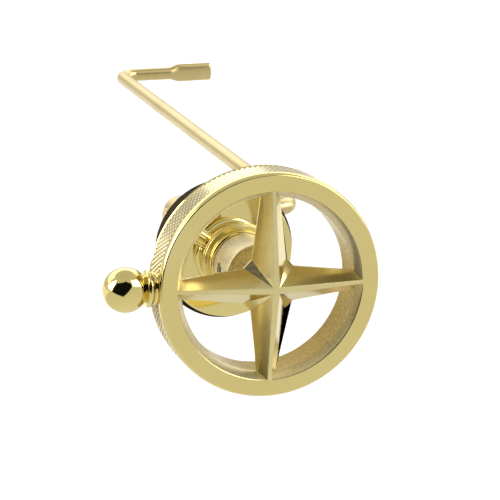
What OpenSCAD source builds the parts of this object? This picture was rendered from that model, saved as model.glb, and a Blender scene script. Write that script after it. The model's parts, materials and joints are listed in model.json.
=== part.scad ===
// Side-mount tank trip lever with a star-spoked wheel handle.
// Origin: centre of the gasket's back face, where it meets the tank wall.
// +Y runs into the tank along the spindle, +X to the right, +Z up.

/* [Wheel] */
// Outside diameter of the wheel
wheel_od = 63.5; // [56:0.5:76]
// Front-to-back depth of the wheel
wheel_depth = 12; // [9:0.5:16]
// Diameter of the hole through the wheel
wheel_bore = 49.3; // [44:0.1:52]
// Inside diameter of the flat front face
face_id = 53.6; // [53:0.1:56]
// Outside diameter of the flat front face
face_od = 61.5; // [58:0.1:64]
// Depth of the slope from the flat face down to the hole
inner_slope = 3; // [1:0.1:5]
// Depth of the rounding at the front outer edge
front_round = 1.6; // [0.8:0.1:2.5]
// Chamfer at the back outer edge
back_chamfer = 0.5; // [0.2:0.1:1]

/* [Star] */
// How far the star's centre stands in front of the wheel's face
star_rise = 4.3; // [2:0.1:7]
// Width of the flat ridge at the star's centre
ridge_root_w = 1.8; // [1.2:0.1:3]
// Width of the flat ridge at an arm's tip
ridge_tip_w = 1.0; // [0.6:0.1:1.6]
// Distance along an arm at which its corner facet meets its side
root_at = 7.2; // [6:0.1:9]
// Half the width of an arm at that corner
root_half = 4.9; // [4:0.1:6]
// Depth of the star's lower edge behind the wheel's face
star_drop = 3; // [2:0.1:5]
// Thickness of the star's edge below its facets
star_edge = 0.6; // [0.4:0.1:1.5]

/* [Knob] */
// Diameter of the ball
ball_d = 12.5; // [9:0.1:16]
// Gap between the wheel's outside and the ball's centre
ball_standoff = 7.8; // [6.5:0.1:14]
// Diameter of the round bead behind the ball
bead_d = 10.3; // [8:0.1:12]
// Diameter of the collar against the wheel
knob_collar_d = 9.1; // [7:0.1:11]
// Diameter of the threaded stud that holds the knob
knob_stud_d = 4; // [3:0.5:5]

/* [Hub] */
// Diameter of the hub
hub_d = 17.6; // [15:0.1:20]
// Length of the hub
hub_len = 12.8; // [10:0.1:20]
// Distance from the wheel's face back to the hub's front
hub_set_back = 13.2; // [9:0.1:18]
// Diameter of the spigot that carries the star
spigot_d = 9; // [7:0.1:11]
// Diameter of the stud that joins the star to the hub
star_stud_d = 5; // [4:0.5:6]
// Diameter of the hub's set screw
hub_screw_d = 4; // [3:0.5:5]

/* [Escutcheon] */
// Diameter of the escutcheon's rim
plate_d = 38.4; // [34:0.1:50]
// Thickness of the escutcheon's rim
plate_edge = 2.8; // [2:0.1:5]
// How far the dished face rises from its rim to the neck
dish_rise = 1; // [0.3:0.1:3]
// Radius of the rounding between the face and the neck
neck_round = 1.5; // [0.5:0.1:3]
// Length of the neck from the rim to the collar
neck_len = 9.8; // [8:0.1:16]
// Diameter of the neck
neck_d = 19.2; // [18.5:0.1:23]
// Diameter of the ringed collar that caps the neck
collar_d = 22.4; // [20:0.1:26]
// Length of the ringed collar
collar_len = 3; // [2.5:0.1:6]
// Diameter of the knurled lock screw's head
lock_head_d = 5.2; // [4:0.1:6]
// Height of the lock screw's head above the neck
lock_head_len = 5.9; // [4:0.1:8]
// Angle of the lock screw above the left-hand side
lock_angle = 32; // [0:1:60]

/* [Gasket] */
// Outside diameter of the rubber gasket
gasket_d = 40.8; // [36:0.1:54]
// Thickness of the rubber gasket
gasket_t = 4.5; // [2:0.1:6]

/* [Shank] */
// Outside diameter of the threaded shank
shank_d = 15.88; // [14:0.01:17.5]
// Bore of the threaded shank
shank_bore = 11.1; // [10.5:0.1:12.4]
// Length of the shank behind the wall's outer face
shank_reach = 31; // [28:0.5:45]
// Thickness of the tank wall that the nut clamps
wall_t = 10; // [6:0.5:14]
// Length of each spindle bush
bush_len = 11; // [6:0.5:12]

/* [Nut] */
// Width of the mounting nut across its flats
nut_af = 24; // [22:0.5:30]
// Thickness of the mounting nut
nut_t = 7.5; // [5:0.5:9]
// Diameter of the nut's washer
nut_washer_d = 26; // [24:0.5:34]
// Thickness of the nut's washer
nut_washer_t = 1.5; // [1:0.1:2.5]

/* [Spindle] */
// Diameter of the spindle
spindle_d = 8; // [7:0.1:9]
// Thickness of the thrust washer between hub and shank
thrust_t = 0.8; // [0.5:0.1:1.5]
// Diameter of the stop pin
stop_pin_d = 2.4; // [1.5:0.1:3]
// How far the handle turns from rest, in degrees
turn_limit = 40; // [20:1:60]

/* [Trip arm] */
// Diameter of the trip arm's rod
rod_d = 5.1; // [4:0.1:6.4]
// Offset of the long run from the spindle's axis
crank_len = 36.6; // [28:0.1:60]
// Distance of the crank behind the wall's outer face
crank_at = 41.5; // [41.5:0.5:60]
// Distance of the far bend behind the wall's outer face
arm_reach = 271; // [150:1:320]
// Length of the hook beyond the far bend
hook_len = 40; // [30:0.5:60]
// Centreline radius of the bends
bend_r = 7; // [6:0.5:12]
// Upward lean of the long run, in degrees
run_rise = 1.5; // [0:0.1:4]
// Angle of the arm and its holder about the spindle, in degrees
arm_clock = 1.5; // [0:0.5:10]
// Width of the flattened end
flat_w = 7.4; // [6:0.1:9]
// Thickness of the flattened end
flat_t = 2.4; // [1.8:0.1:3]
// Length of the flattened end
flat_len = 14; // [12:0.5:18]
// Diameter of the chain hole
chain_hole_d = 3.9; // [2.5:0.1:5]
// Distance of the chain hole from the arm's end
chain_hole_in = 5.6; // [4:0.1:8]
// Diameter of the holder at the crank
holder_d = 11; // [9:0.1:13]
// Diameter of the holder's collar on the spindle
holder_collar_d = 14; // [12:0.1:15]
// Diameter of the holder's set screws
holder_screw_d = 4; // [3:0.5:5]

/* [Hidden] */
$fn = 96;
run_gap = 0.05;      // radial running clearance of spindle and bushes
end_play = 0.3;      // axial gap between turning and fixed faces
slip_gap = 0.06;     // radial clearance of pieces that slide over the shank
rod_gap = 0.03;      // radial clearance of the rod in its holder
pin_gap = 0.35;      // clearance of the stop pin in its slot
screw_sink = 0.5;    // depth of a set screw's end below the surface
head_gap = 0.15;     // clearance between the lock screw's head and the collar
head_lift = 0.35;    // height of the head's underside above the neck
lock_stem_d = 3;     // diameter of the lock screw's stem
inner_soft = 0.3;    // softening where the slope meets the flat face
joint_bite = 0.6;    // how far a star arm is let into the wheel
bead_r = 0.85;       // radius of the knob's round bead
edge_r = 0.5;        // rounding at the escutcheon's rim
clip_t = 0.9;        // thickness of the retaining clip
clip_groove = 0.6;   // depth of the clip's groove in the spindle
stud_bite = 5;       // length of knob stud in each piece
rod_fn = 48;         // sides of the rod
eps = 0.01;

// Stations along Y, from the wall's outer face
plate_back = -gasket_t;
plate_front = plate_back - plate_edge;
neck_front = plate_front - neck_len;
collar_front = neck_front - collar_len;
thrust_front = collar_front - end_play - thrust_t;
hub_back = thrust_front;
hub_front = hub_back - hub_len;
face_y = hub_front - hub_set_back;
wheel_mid = face_y + wheel_depth / 2;
star_back = face_y + star_drop + star_edge;
star_top = face_y - star_rise;
spindle_front = hub_front + 3;
screw_y = hub_back - hub_len * 0.4;
lock_y = neck_front + lock_head_d / 2 + head_gap;
shank_end = shank_reach;
pin_y = shank_end - 2;
bush_back = pin_y - stop_pin_d / 2 - pin_gap - 1;
washer_back_y = shank_end + end_play;
clip_y = washer_back_y + thrust_t;
holder_front = clip_y + clip_t + 0.3;
holder_end = crank_at + rod_d / 2 + 2;
holder_step = crank_at - rod_d / 2 - 1.2;
spindle_end = holder_step - 0.3;
holder_screw_y = (holder_front + spindle_end) / 2;
wheel_r = wheel_od / 2;
ball_x = -(wheel_r + ball_standoff);
run_len = arm_reach - crank_at;

brass = [0.80, 0.68, 0.38];
satin_brass = [0.76, 0.65, 0.40];
steel = [0.62, 0.62, 0.64];
nylon = [0.90, 0.89, 0.85];
rubber = [0.12, 0.10, 0.08];

// Turns a profile of [radius, y] points about the spindle's axis
module turned(points) {
    rotate([-90, 0, 0]) rotate_extrude() polygon(points);
}

// A ring between two radii and two stations
module ring(r_in, r_out, y0, y1) {
    translate([0, y0, 0]) rotate([-90, 0, 0]) difference() {
        cylinder(r = r_out, h = y1 - y0);
        translate([0, 0, -1]) cylinder(r = r_in, h = y1 - y0 + 2);
    }
}

// A round bar on the spindle's axis
module bar(r, y0, y1) {
    translate([0, y0, 0]) rotate([-90, 0, 0]) cylinder(r = r, h = y1 - y0);
}

// A radial bar at station y, turned by angle from +X towards +Z
module radial_bar(r, y, r0, r1, angle) {
    translate([0, y, 0]) rotate([0, -angle, 0]) rotate([0, 90, 0])
        translate([0, 0, r0]) cylinder(r = r, h = r1 - r0);
}

// A set screw with a hexagon socket in its outer end
module set_screw(d, y, r0, r1, angle) {
    difference() {
        radial_bar(d / 2, y, r0, r1, angle);
        translate([0, y, 0]) rotate([0, -angle, 0]) rotate([0, 90, 0])
            translate([0, 0, r1 - (r1 - r0) * 0.5])
            cylinder(d = d * 0.55, h = r1 - r0, $fn = 6);
    }
}

module wheel_rim() {
    bore_r = wheel_bore / 2;
    round_r = wheel_r - face_od / 2;
    color(brass) difference() {
        turned(concat(
            [[bore_r, face_y + wheel_depth], [bore_r, face_y + inner_slope]],
            [[face_id / 2 - inner_soft, face_y + inner_soft / 2], [face_id / 2, face_y]],
            [for (a = [90:-15:0])
                [face_od / 2 + round_r * cos(a), face_y + front_round * (1 - sin(a))]],
            [[wheel_r, face_y + wheel_depth - back_chamfer],
                [wheel_r - back_chamfer, face_y + wheel_depth]]));
        radial_bar(knob_stud_d / 2, wheel_mid, wheel_r - stud_bite, wheel_r + 1, 180);
    }
}

// Points of the star, going round its four arms. An arm's lower tip
// half-width keeps each side facet flat.
tip_r = face_id / 2 + joint_bite;
tip_y = face_y + star_rise * joint_bite / (face_id / 2);
edge_y = face_y + star_drop;
c_half = ridge_root_w / 2;
t_half = ridge_tip_w / 2;
facet_n = cross([tip_r - c_half, t_half - c_half, tip_y - star_top],
    [root_at - c_half, root_half - c_half, edge_y - star_top]);
foot_half = c_half - (facet_n[0] * (tip_r - c_half) + facet_n[2] * (edge_y - star_top)) / facet_n[1];
function turn(p, k) = [p[0] * cos(90 * k) - p[2] * sin(90 * k), p[1],
    p[0] * sin(90 * k) + p[2] * cos(90 * k)];
// Ten points to a quarter: centre corner, ridge tips, facet feet and the same feet at the back
star_quarter = [[c_half, star_top, c_half], [tip_r, tip_y, -t_half], [tip_r, tip_y, t_half],
    [tip_r, edge_y, -foot_half], [tip_r, edge_y, foot_half],
    [root_at, edge_y, root_half], [root_half, edge_y, root_at],
    [tip_r, star_back, -foot_half], [tip_r, star_back, foot_half],
    [root_at, star_back, root_half], [root_half, star_back, root_at]];
n_quarter = len(star_quarter);
star_points = [for (k = [0:3]) for (p = star_quarter) turn(p, k)];
function at(k, i) = ((k + 4) % 4) * n_quarter + i;
star_faces = concat(
    [[for (k = [0:3]) at(k, 0)]],
    [for (k = [0:3]) [at(k, 0), at(k - 1, 0), at(k, 1), at(k, 2)]],
    [for (k = [0:3]) [at(k, 0), at(k, 2), at(k, 4), at(k, 5)]],
    [for (k = [0:3]) [at(k - 1, 0), at(k - 1, 6), at(k, 3), at(k, 1)]],
    [for (k = [0:3]) [at(k, 0), at(k, 5), at(k, 6)]],
    [for (k = [0:3]) [at(k, 1), at(k, 3), at(k, 7), at(k, 8), at(k, 4), at(k, 2)]],
    [for (k = [0:3]) [at(k, 4), at(k, 8), at(k, 9), at(k, 5)]],
    [for (k = [0:3]) [at(k, 5), at(k, 9), at(k, 10), at(k, 6)]],
    [for (k = [0:3]) [at(k - 1, 6), at(k - 1, 10), at(k, 7), at(k, 3)]],
    [[for (k = [3:-1:0]) for (i = [10, 9, 8, 7]) at(k, i)]]);

module star_spokes() {
    color(brass) difference() {
        polyhedron(star_points, star_faces);
        bar(star_stud_d / 2, star_back - 4, star_back + 1);
    }
}

module star_stud() {
    color(steel) bar(star_stud_d / 2, star_back - 3.8, star_back + 6);
}

module wheel_hub() {
    lip = 0.4;
    color(brass) difference() {
        union() {
            bar(spigot_d / 2, star_back, hub_front + eps);
            turned([[0, hub_front], [hub_d / 2 - lip, hub_front], [hub_d / 2, hub_front + lip],
                [hub_d / 2, hub_back - lip], [hub_d / 2 - lip, hub_back], [0, hub_back]]);
        }
        bar(star_stud_d / 2, star_back - 1, star_back + 6.2);
        bar(spindle_d / 2, spindle_front - 0.2, hub_back + 1);
        radial_bar(hub_screw_d / 2, screw_y, spindle_d / 2 - 0.5, hub_d, 180);
    }
}

module hub_set_screw() {
    color(steel) set_screw(hub_screw_d, screw_y, spindle_d / 2 + eps, hub_d / 2 - screw_sink, 180);
}

// The knob is turned about its own axis, from the ball's pole to its collar
module ball_knob() {
    ball_r = ball_d / 2;
    bead_x = ball_standoff - 1.6;
    neck_r = bead_d / 2 - bead_r;
    join = acos(min(0.98, (bead_x - bead_r - 0.4) / ball_r));
    color(brass) difference() {
        translate([ball_x, wheel_mid, 0]) rotate([0, 90, 0]) difference() {
            rotate_extrude() polygon(concat(
                [for (a = [0:6:180 - join]) [ball_r * sin(a), -ball_r * cos(a)]],
                [[neck_r - 0.25, bead_x - bead_r]],
                [for (a = [-75:25:75]) [neck_r + bead_r * cos(a), bead_x + bead_r * sin(a)]],
                [[knob_collar_d / 2 - 0.3, bead_x + bead_r + 0.1],
                    [knob_collar_d / 2, bead_x + bead_r + 0.3],
                    [knob_collar_d / 2, ball_standoff + 3], [0, ball_standoff + 3]]));
            translate([0, 0, ball_standoff - stud_bite]) cylinder(d = knob_stud_d, h = stud_bite + 4);
        }
        bar(wheel_r, face_y - 1, face_y + wheel_depth + 1);
    }
}

module knob_stud() {
    color(steel) radial_bar(knob_stud_d / 2, wheel_mid, wheel_r - stud_bite + 0.2,
        wheel_r + stud_bite - 0.2, 180);
}

module spindle() {
    color(brass) difference() {
        bar(spindle_d / 2, spindle_front, spindle_end);
        ring(spindle_d / 2 - clip_groove, spindle_d, clip_y, clip_y + clip_t);
        radial_bar(stop_pin_d / 2, pin_y, -spindle_d / 4, spindle_d, 90);
    }
}

module thrust_washer() {
    color(nylon) ring(spindle_d / 2 + run_gap, shank_d / 2 - 0.6, thrust_front, thrust_front + thrust_t);
}

module rear_washer() {
    color(nylon) ring(spindle_d / 2 + run_gap, shank_d / 2 - 0.6, washer_back_y, washer_back_y + thrust_t);
}

// A spring-steel ring with a gap, seated in the spindle's groove
module retaining_clip() {
    gap = spindle_d * 0.7;
    color(steel) difference() {
        ring(spindle_d / 2 - clip_groove, spindle_d / 2 + 2, clip_y, clip_y + clip_t);
        translate([-gap / 2, clip_y - 1, -spindle_d]) cube([gap, clip_t + 2, spindle_d]);
    }
}

module stop_pin() {
    color(steel) radial_bar(stop_pin_d / 2, pin_y, -spindle_d / 4, shank_d / 2 - 0.5, 90);
}

module arm_holder() {
    soft = 0.4;
    r1 = holder_collar_d / 2;
    r2 = holder_d / 2;
    color(satin_brass) rotate([0, -arm_clock, 0]) difference() {
        turned([[0, holder_front], [r1 - soft, holder_front], [r1, holder_front + soft],
            [r1, holder_step - soft], [r1 - soft, holder_step], [r2, holder_step],
            [r2, holder_end - soft], [r2 - soft, holder_end], [0, holder_end]]);
        bar(spindle_d / 2, holder_front - 1, spindle_end + 0.1);
        translate([-holder_d, crank_at, 0]) rotate([0, 90, 0])
            cylinder(r = rod_d / 2 + rod_gap, h = 2 * holder_d);
        radial_bar(holder_screw_d / 2, holder_screw_y, 0, holder_collar_d, 90);
        radial_bar(holder_screw_d / 2, crank_at, 0, holder_d, 90);
    }
}

module holder_set_screws() {
    color(steel) rotate([0, -arm_clock, 0]) {
        set_screw(holder_screw_d, holder_screw_y, spindle_d / 2 + eps,
            holder_collar_d / 2 - screw_sink, 90);
        set_screw(holder_screw_d, crank_at, rod_d / 2 + eps, holder_d / 2 + 0.6, 90);
    }
}

// A quarter bend in the XY plane that starts at the origin along +X
// and leaves along +Y
module bend_left() {
    translate([0, bend_r, 0]) rotate([0, 0, -90])
        rotate_extrude(angle = 90) translate([bend_r, 0]) circle(d = rod_d, $fn = rod_fn);
}

// The flattened end: a tongue in the XZ plane with a hole along Y. It starts
// inside the rod, which is pressed down to the tongue's thickness over the taper
module flat_end(taper) {
    crown = flat_w * 0.12;
    end = taper + flat_len;
    difference() {
        translate([0, flat_t / 2, 0]) rotate([90, 0, 0]) linear_extrude(flat_t)
            polygon(concat([[0.5, -rod_d * 0.4], [taper, -flat_w / 2]],
                [for (a = [-90:15:90]) [end - crown + crown * cos(a), flat_w / 2 * sin(a)]],
                [[taper, flat_w / 2], [0.5, rod_d * 0.4]]));
        translate([end - chain_hole_in, -flat_t, 0]) rotate([-90, 0, 0])
            cylinder(d = chain_hole_d, h = 2 * flat_t);
    }
}

// The rod's last stretch, pressed to a wedge
module pressed_rod(straight, taper) {
    intersection() {
        rod(straight + taper);
        translate([0, 0, -rod_d]) linear_extrude(2 * rod_d)
            polygon([[0, -rod_d], [straight, -rod_d], [straight, -rod_d * 0.45],
                [straight + taper, -flat_t * 0.46], [straight + taper, flat_t * 0.46],
                [straight, rod_d * 0.45], [straight, rod_d], [0, rod_d]]);
    }
}

module rod(length) {
    rotate([0, 90, 0]) cylinder(d = rod_d, h = length, $fn = rod_fn);
}

// Places the arm's stretches: its origin is the crank's middle, with +X along
// the crank and +Y along the long run
module on_arm() {
    color(satin_brass) translate([0, crank_at, 0]) rotate([0, -arm_clock, 0])
        rotate([run_rise, 0, 0]) children();
}

// The arm is one bent rod in three stretches that meet at flat ends, so that
// each one is nearly straight
module trip_arm_crank() {
    crank_start = -holder_d / 2 - 0.8;
    on_arm() {
        translate([crank_start, 0, 0]) rod(crank_len - bend_r - crank_start);
        translate([crank_len - bend_r, 0, 0]) bend_left();
    }
}

module trip_arm_run() {
    on_arm() translate([crank_len, bend_r, 0]) rotate([0, 0, 90]) rod(run_len - 2 * bend_r);
}

module trip_arm_hook() {
    taper = rod_d * 0.9;
    straight = hook_len - flat_len - taper;
    on_arm() translate([crank_len, run_len, 0]) {
        translate([0, -bend_r, 0]) mirror([1, -1, 0]) bend_left();
        translate([bend_r, 0, 0]) pressed_rod(straight - bend_r, taper);
        translate([straight, 0, 0]) flat_end(taper);
    }
}

module escutcheon() {
    bore_r = shank_d / 2 + slip_gap;
    neck_r = neck_d / 2;
    lip_r = plate_d / 2 - edge_r;
    face_r = neck_r + neck_round;
    face_end = plate_front - edge_r - dish_rise;
    recess = 2;
    color(brass) difference() {
        turned(concat(
            [[bore_r, plate_back - recess], [bore_r, neck_front], [neck_r, neck_front]],
            [for (a = [0:15:90]) [face_r - neck_round * cos(a), face_end - neck_round * (1 - sin(a))]],
            [[lip_r, plate_front - edge_r]],
            [for (a = [60:-30:0]) [lip_r + edge_r * cos(a), plate_front - edge_r * sin(a)]],
            [[plate_d / 2, plate_back], [plate_d / 2 - 3, plate_back],
                [plate_d / 2 - 3, plate_back - recess]]));
        radial_bar(lock_stem_d / 2, lock_y, shank_d / 2 - 1, neck_r + 1, 180 - lock_angle);
    }
}

// The collar's two round beads and grooves, stepping down towards the hub
module neck_collar() {
    r0 = shank_d / 2;
    r1 = collar_d / 2;
    step = (r1 - r0) / 3;
    bead = collar_len / 4.5;
    color(brass) turned(concat(
        [[r0, neck_front], [r0, collar_front], [r0 + step * 0.6, collar_front]],
        [for (a = [-60:30:60]) [r0 + step + bead * 0.6 * cos(a), collar_front + bead + bead * 0.9 * sin(a)]],
        [[r0 + step * 1.2, collar_front + bead * 1.95]],
        [for (a = [-60:30:60]) [r1 - bead * 1.2 + bead * 0.7 * cos(a),
            collar_front + bead * 2.4 + bead * 0.5 * sin(a)]],
        [[r1 - bead * 0.7, collar_front + bead * 2.9], [r1 - 0.2, collar_front + bead * 2.9],
            [r1, collar_front + bead * 3.1], [r1, neck_front - 0.3], [r1 - 0.3, neck_front]]));
}

// A thumb screw with a straight-knurled head
module neck_lock_screw() {
    ribs = 14;
    neck_r = neck_d / 2;
    color(brass) translate([0, lock_y, 0]) rotate([0, lock_angle - 180, 0]) rotate([0, 90, 0]) {
        translate([0, 0, shank_d / 2 + eps])
            cylinder(d = lock_stem_d, h = neck_r + head_lift + 0.1 - shank_d / 2);
        translate([0, 0, neck_r + head_lift]) difference() {
            cylinder(d = lock_head_d, h = lock_head_len - head_lift);
            for (i = [0:ribs - 1]) rotate([0, 0, i * 360 / ribs])
                translate([lock_head_d / 2 + 0.05, 0, 0.5])
                cylinder(d = 0.6, h = lock_head_len, $fn = 16);
        }
    }
}

// The tube's back end has a slot that lets the stop pin swing by turn_limit
module threaded_shank() {
    slot_y = pin_y - stop_pin_d / 2 - pin_gap;
    side = asin((stop_pin_d / 2 + pin_gap) / (shank_bore / 2));
    color(satin_brass) difference() {
        turned([[shank_bore / 2, collar_front], [shank_d / 2, collar_front],
            [shank_d / 2, shank_end - 0.6], [shank_d / 2 - 0.6, shank_end], [shank_bore / 2, shank_end]]);
        translate([0, slot_y, 0]) rotate([-90, 0, 0]) linear_extrude(shank_end)
            polygon(concat([[0, 0]], [for (i = [0:8])
                let (a = -side + (turn_limit + 2 * side) * i / 8)
                [-shank_d * sin(a), -shank_d * cos(a)]]));
    }
}

module front_bush() {
    color(nylon) ring(spindle_d / 2 + run_gap, shank_bore / 2, collar_front, collar_front + bush_len);
}

module rear_bush() {
    color(nylon) ring(spindle_d / 2 + run_gap, shank_bore / 2, bush_back - bush_len, bush_back);
}

module o_ring() {
    wall = shank_bore / 2 - spindle_d / 2 - run_gap;
    color(rubber) translate([0, collar_front + bush_len + wall, 0]) rotate([-90, 0, 0])
        rotate_extrude() translate([spindle_d / 2 + run_gap + wall / 2, 0]) circle(d = wall, $fn = 32);
}

module rubber_gasket() {
    soft = 0.4;
    r = gasket_d / 2;
    r0 = shank_d / 2 + slip_gap;
    color(rubber) turned([[r0, plate_back], [r - soft, plate_back], [r, plate_back + soft],
        [r, -soft], [r - soft, 0], [r0, 0]]);
}

module nut_washer() {
    color(satin_brass) ring(shank_d / 2 + slip_gap, nut_washer_d / 2, wall_t, wall_t + nut_washer_t);
}

// A hexagon nut with its corners chamfered at both ends
module mounting_nut() {
    y0 = wall_t + nut_washer_t;
    corner_r = nut_af / 2 / cos(30);
    cut = corner_r - nut_af / 2 * 0.98;
    drop = cut * tan(30);
    color(satin_brass) intersection() {
        translate([0, y0, 0]) rotate([-90, 0, 0]) difference() {
            cylinder(r = corner_r, h = nut_t, $fn = 6);
            translate([0, 0, -1]) cylinder(d = shank_d, h = nut_t + 2);
        }
        turned([[0, y0], [corner_r - cut, y0], [corner_r + eps, y0 + drop],
            [corner_r + eps, y0 + nut_t - drop], [corner_r - cut, y0 + nut_t], [0, y0 + nut_t]]);
    }
}

wheel_rim();
star_spokes();
star_stud();
wheel_hub();
hub_set_screw();
ball_knob();
knob_stud();
spindle();
thrust_washer();
rear_washer();
retaining_clip();
stop_pin();
arm_holder();
holder_set_screws();
trip_arm_crank();
trip_arm_run();
trip_arm_hook();
escutcheon();
neck_collar();
neck_lock_screw();
threaded_shank();
front_bush();
rear_bush();
o_ring();
rubber_gasket();
nut_washer();
mounting_nut();
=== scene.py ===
import json
import math
import bpy
import bmesh
from mathutils import Matrix, Vector


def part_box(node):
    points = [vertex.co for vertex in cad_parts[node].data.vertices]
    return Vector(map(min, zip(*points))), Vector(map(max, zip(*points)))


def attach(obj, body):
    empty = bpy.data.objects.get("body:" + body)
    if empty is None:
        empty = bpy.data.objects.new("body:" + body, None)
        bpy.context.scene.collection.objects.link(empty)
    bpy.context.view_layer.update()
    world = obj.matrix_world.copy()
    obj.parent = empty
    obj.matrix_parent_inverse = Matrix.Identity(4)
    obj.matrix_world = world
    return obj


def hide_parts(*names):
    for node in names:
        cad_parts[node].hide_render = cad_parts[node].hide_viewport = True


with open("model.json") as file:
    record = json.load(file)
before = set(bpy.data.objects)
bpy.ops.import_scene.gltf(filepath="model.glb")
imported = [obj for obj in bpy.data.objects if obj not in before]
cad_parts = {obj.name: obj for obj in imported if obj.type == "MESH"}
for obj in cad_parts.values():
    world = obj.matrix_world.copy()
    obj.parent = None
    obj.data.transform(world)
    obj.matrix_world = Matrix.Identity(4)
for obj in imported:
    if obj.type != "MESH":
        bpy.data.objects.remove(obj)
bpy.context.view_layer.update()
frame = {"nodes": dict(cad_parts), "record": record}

mm = 0.001
fullTurn = 2 * math.pi
cadNodes = frame["nodes"]
print("frame loaded:", len(cadNodes), "nodes")


# ---- hand tools shared by all the pieces ----

def clearSelection():
    if bpy.context.object and bpy.context.object.mode != "OBJECT":
        bpy.ops.object.mode_set(mode="OBJECT")
    bpy.ops.object.select_all(action="DESELECT")


def pick(piece):
    clearSelection()
    piece.select_set(True)
    bpy.context.view_layer.objects.active = piece


def editPiece(piece, mode="VERT"):
    pick(piece)
    bpy.ops.object.mode_set(mode="EDIT")
    bpy.ops.mesh.select_mode(type=mode)
    bpy.ops.mesh.select_all(action="DESELECT")
    return bmesh.from_edit_mesh(piece.data)


def selectEdges(piece, test):
    shape = bmesh.from_edit_mesh(piece.data)
    bpy.ops.mesh.select_all(action="DESELECT")
    for edge in shape.edges:
        if test(edge):
            edge.select_set(True)
    bmesh.update_edit_mesh(piece.data)


def span(node):
    low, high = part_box(node)  # first and last station along the spindle, in mm
    return low.y / mm, high.y / mm


def outerRadius(node):
    low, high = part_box(node)
    return (high.x - low.x) / 2 / mm


def arc(centreR, centreY, radius, start, end, steps=8, radiusY=None):
    radiusY = radiusY or radius
    turns = [math.radians(start + (end - start) * i / steps) for i in range(steps + 1)]
    return [(centreR + radius * math.cos(a), centreY + radiusY * math.sin(a)) for a in turns]


def newPiece(name):
    piece = bpy.context.object
    piece.name = piece.data.name = name
    return piece


def applyPlace(piece):
    pick(piece)
    bpy.ops.object.transform_apply(location=True, rotation=True, scale=True)


def applyModifier(piece, modifier):
    pick(piece)
    bpy.ops.object.modifier_apply(modifier=modifier.name)


def outlinePiece(name, outline):
    clearSelection()
    r, y = outline[0]
    bpy.ops.mesh.primitive_plane_add(size=mm, location=(r * mm, y * mm, 0))
    piece = newPiece(name)
    applyPlace(piece)
    bpy.ops.object.mode_set(mode="EDIT")
    bpy.ops.mesh.select_all(action="SELECT")
    bpy.ops.mesh.merge(type="CENTER")
    for (r0, y0), (r1, y1) in zip(outline, outline[1:]):
        step = ((r1 - r0) * mm, (y1 - y0) * mm, 0)
        bpy.ops.mesh.extrude_region_move(TRANSFORM_OT_translate={"value": step})
    return piece


def turnedPiece(name, outline, sides=160):
    piece = outlinePiece(name, outline)  # radius along X, stations along the spindle
    bpy.ops.mesh.select_all(action="SELECT")
    bpy.ops.mesh.spin(steps=sides, angle=fullTurn, center=(0, 0, 0), axis=(0, 1, 0))
    bpy.ops.mesh.select_all(action="SELECT")
    bpy.ops.mesh.remove_doubles(threshold=1e-6)
    bpy.ops.mesh.normals_make_consistent(inside=False)
    bpy.ops.object.mode_set(mode="OBJECT")
    return piece


def setDown(piece, matrix):
    piece.matrix_world = matrix
    applyPlace(piece)
    return piece


def along(direction, origin=(0, 0, 0)):
    # stands a piece that was turned about +Y along another direction
    turn = Vector((0, 1, 0)).rotation_difference(Vector(direction)).to_matrix().to_4x4()
    return Matrix.Translation(Vector(origin) * mm) @ turn


def cutWith(piece, tool, how="DIFFERENCE"):
    pick(piece)
    cut = piece.modifiers.new("cut", "BOOLEAN")
    cut.operation = how
    cut.solver = "EXACT"
    cut.object = tool
    bpy.ops.object.modifier_apply(modifier=cut.name)
    bpy.data.meshes.remove(tool.data)
    return piece


def roundBar(name, radius, start, end, sides=48):
    return turnedPiece(name, [(0, start), (radius, start), (radius, end), (0, end)], sides)


def softenEdges(piece, width, steps=2, angle=30):
    pick(piece)
    bevel = piece.modifiers.new("softEdges", "BEVEL")
    bevel.width = width * mm
    bevel.segments = steps
    bevel.limit_method = "ANGLE"
    bevel.angle_limit = math.radians(angle)
    bpy.ops.object.modifier_apply(modifier=bevel.name)


def smoothFaces(piece, angle=30):
    pick(piece)
    bpy.ops.object.shade_smooth_by_angle(angle=math.radians(angle))
    even = piece.modifiers.new("evenShading", "WEIGHTED_NORMAL")
    even.keep_sharp = True
    bpy.ops.object.modifier_apply(modifier=even.name)


def copyOfNode(name, node, merge=True):
    piece = bpy.data.objects.new(name, cadNodes[node].data.copy())
    piece.data.name = name
    bpy.context.scene.collection.objects.link(piece)
    editPiece(piece)
    bpy.ops.mesh.select_all(action="SELECT")
    bpy.ops.mesh.remove_doubles(threshold=1e-6)
    if merge:
        bpy.ops.mesh.dissolve_limited(angle_limit=math.radians(0.5))
    else:
        bpy.ops.mesh.tris_convert_to_quads(face_threshold=math.radians(0.5), shape_threshold=math.pi)
    bpy.ops.object.mode_set(mode="OBJECT")
    return piece


def install(piece, body, slotName, finishes, *replaced):
    piece.data.materials.clear()
    for finish in finishes if isinstance(finishes, list) else [finishes]:
        piece.data.materials.append(finish)
    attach(piece, body)
    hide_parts(*replaced)
    print("made", piece.name, len(piece.data.polygons), "faces")


# ---- finishes ----

def newFinish(name):
    finish = bpy.data.materials.new(name)
    finish.use_nodes = True
    tree = finish.node_tree
    return finish, tree, tree.nodes["Principled BSDF"]


def grainOn(tree, scale, stretch=(1, 1, 1), detail=4.0):
    where = tree.nodes.new("ShaderNodeTexCoord")
    mapping = tree.nodes.new("ShaderNodeMapping")
    mapping.inputs["Scale"].default_value = stretch
    noise = tree.nodes.new("ShaderNodeTexNoise")
    noise.inputs["Scale"].default_value = scale
    noise.inputs["Detail"].default_value = detail
    tree.links.new(where.outputs["Object"], mapping.inputs["Vector"])
    tree.links.new(mapping.outputs["Vector"], noise.inputs["Vector"])
    return noise.outputs["Fac"]


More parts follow.
